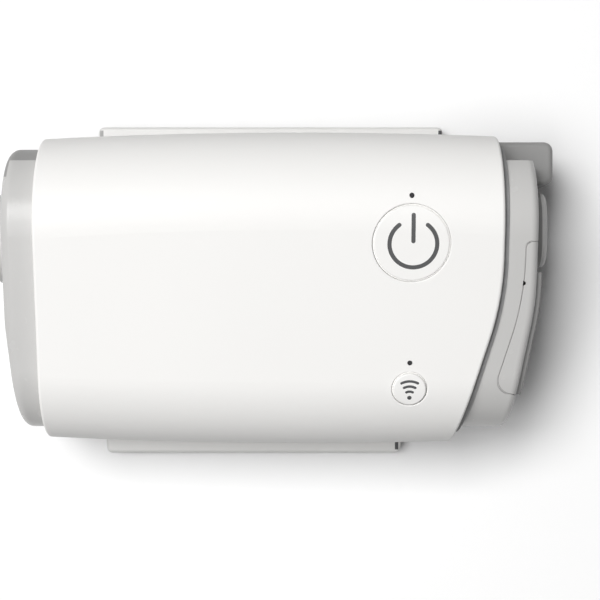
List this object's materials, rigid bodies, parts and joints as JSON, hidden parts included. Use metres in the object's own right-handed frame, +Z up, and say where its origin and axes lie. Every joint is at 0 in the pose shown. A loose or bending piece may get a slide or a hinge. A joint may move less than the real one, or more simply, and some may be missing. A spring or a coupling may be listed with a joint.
{
  "type": "travel CPAP machine",
  "caption": "Palm-sized positive airway pressure blower: wraparound sleeve, end caps, air outlet collar, power inlet, hinged filter cover and press buttons, on a low cradle.",
  "frame": {"origin": "middle of the footprint, at the level of the feet", "axes": "+X along the body towards the power inlet, -X towards the air outlet, +Y to the rear, +Z up"},
  "size_m": [0.136, 0.084, 0.052],
  "materials": {
    "white_shell": "satin",
    "button_white": "satin",
    "cap_grey": "satin",
    "frame_grey": "satin",
    "inlet_ring_grey": "satin",
    "dark_rubber": "matte",
    "gasket_grey": "matte",
    "black_plastic": "satin",
    "light_window": "gloss",
    "contact_brass": "polished",
    "chassis_grey": "satin",
    "blower_grey": "satin",
    "steel": "brushed",
    "motor_iron": "matte",
    "circuit_board": "gloss",
    "shield_metal": "brushed",
    "lead_film": "gloss",
    "foam": "matte",
    "filter_pad": "matte"
  },
  "bodies": {
    "housing": {"air_filter": "filter_pad", "base_cradle": "white_shell", "base_feet": "dark_rubber", "base_screws": "steel", "blower_lower_volute": "blower_grey", "blower_mounts": "dark_rubber", "blower_upper_volute": "blower_grey", "board_parts": "black_plastic", "board_screws": "steel", "chassis_screws": "steel", "control_board": "circuit_board", "cradle_stops": "dark_rubber", "filter_hinge_pin": "steel", "filter_tray": "chassis_grey", "flow_sensor": "black_plastic", "inlet_end_cap": "cap_grey", "inlet_gasket": "gasket_grey", "lower_chassis": "chassis_grey", "motor_bearings": "steel", "motor_lead": "lead_film", "motor_stator": "motor_iron", "muffler_foam": "foam", "outer_sleeve": "white_shell", "outlet_duct": "chassis_grey", "outlet_end_cap": "cap_grey", "outlet_port": "cap_grey", "outlet_seal": "dark_rubber", "pairing_light_guide": "light_window", "pairing_switch": "black_plastic", "power_contacts": "contact_brass", "power_inlet_ring": "inlet_ring_grey", "power_light_guide": "light_window", "power_socket": "black_plastic", "power_switch": "black_plastic", "radio_module": "shield_metal", "rear_frame": "frame_grey", "upper_chassis": "chassis_grey"},
    "filter_door": {"filter_cover": "cap_grey", "inlet_grille": "frame_grey"},
    "power_key": {"power_button": "button_white", "power_switch_plunger": "black_plastic"},
    "pairing_key": {"pairing_button": "button_white", "pairing_switch_plunger": "black_plastic"},
    "blower_rotor": {"impeller": "blower_grey", "motor_rotor": "motor_iron", "motor_shaft": "steel"}
  },
  "joints": [
    {"name": "filter_door_hinge", "type": "hinge", "parent": "housing", "child": "filter_door", "pos_m": [0.05725, -0.01212, 0.0105], "axis": [0.1736, 0.9848, 0], "range_deg": [0, 80]},
    {"name": "power_press", "type": "slide", "parent": "housing", "child": "power_key", "axis": [0, 0.2143, -0.9768], "range_m": [0, 0.0006], "stiffness_N_per_m": 400, "springref_m": -0.002},
    {"name": "pairing_press", "type": "slide", "parent": "housing", "child": "pairing_key", "axis": [0, 0.2143, -0.9768], "range_m": [0, 0.0005], "stiffness_N_per_m": 400, "springref_m": -0.002},
    {"name": "fan_spin", "type": "hinge", "parent": "housing", "child": "blower_rotor", "pos_m": [-0.016, -0.0036, 0.0176], "axis": [0, 0, 1], "continuous": true}
  ]
}
